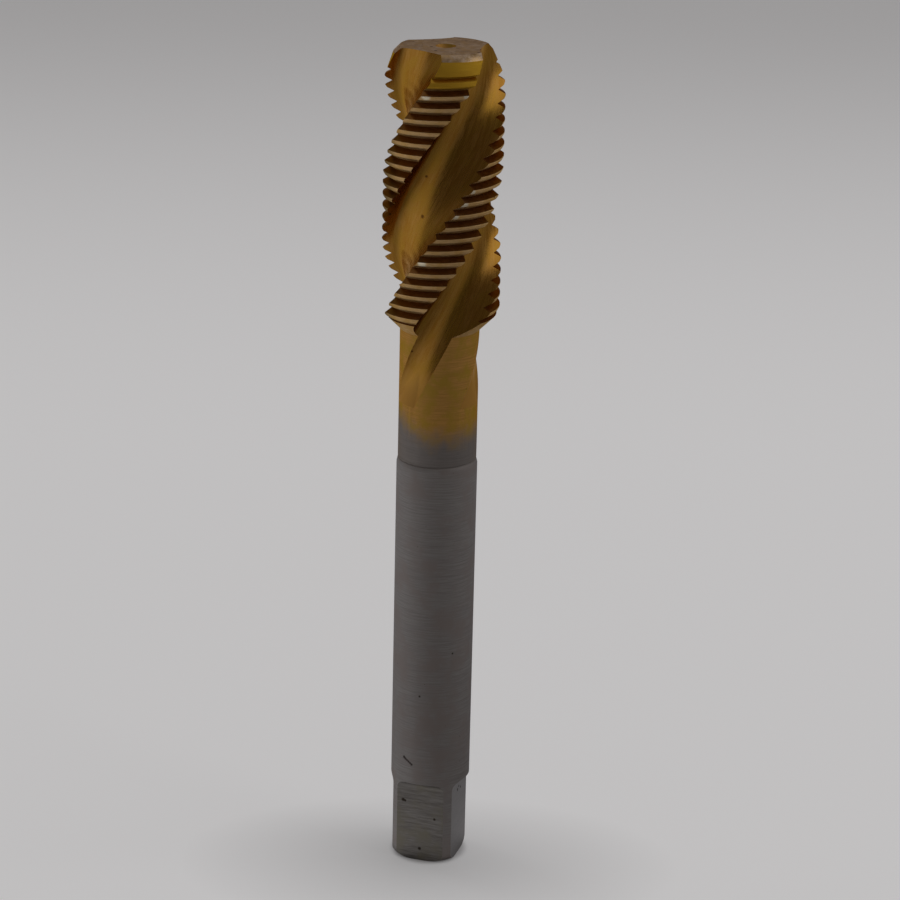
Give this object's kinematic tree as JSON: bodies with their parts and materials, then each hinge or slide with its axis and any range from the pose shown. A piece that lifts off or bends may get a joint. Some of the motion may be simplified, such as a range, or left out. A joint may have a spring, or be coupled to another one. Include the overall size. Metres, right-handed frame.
{
  "type": "thread tap",
  "caption": "Spiral-flute machine tap with a helical thread, plain neck, round shank and drive square.",
  "frame": {"origin": "centre of the drive end face", "axes": "+Z along the tap's axis, from the drive square towards the cutting end; +X and +Y are normal to flats of the drive square"},
  "size_m": [0.01, 0.01, 0.0735],
  "materials": {
    "coated_tool_steel": "ground tool steel, gold nitride coating on the cutting end, bare grey shank"
  },
  "bodies": {
    "root": {"thread_tap": "coated_tool_steel"}
  },
  "joints": []
}
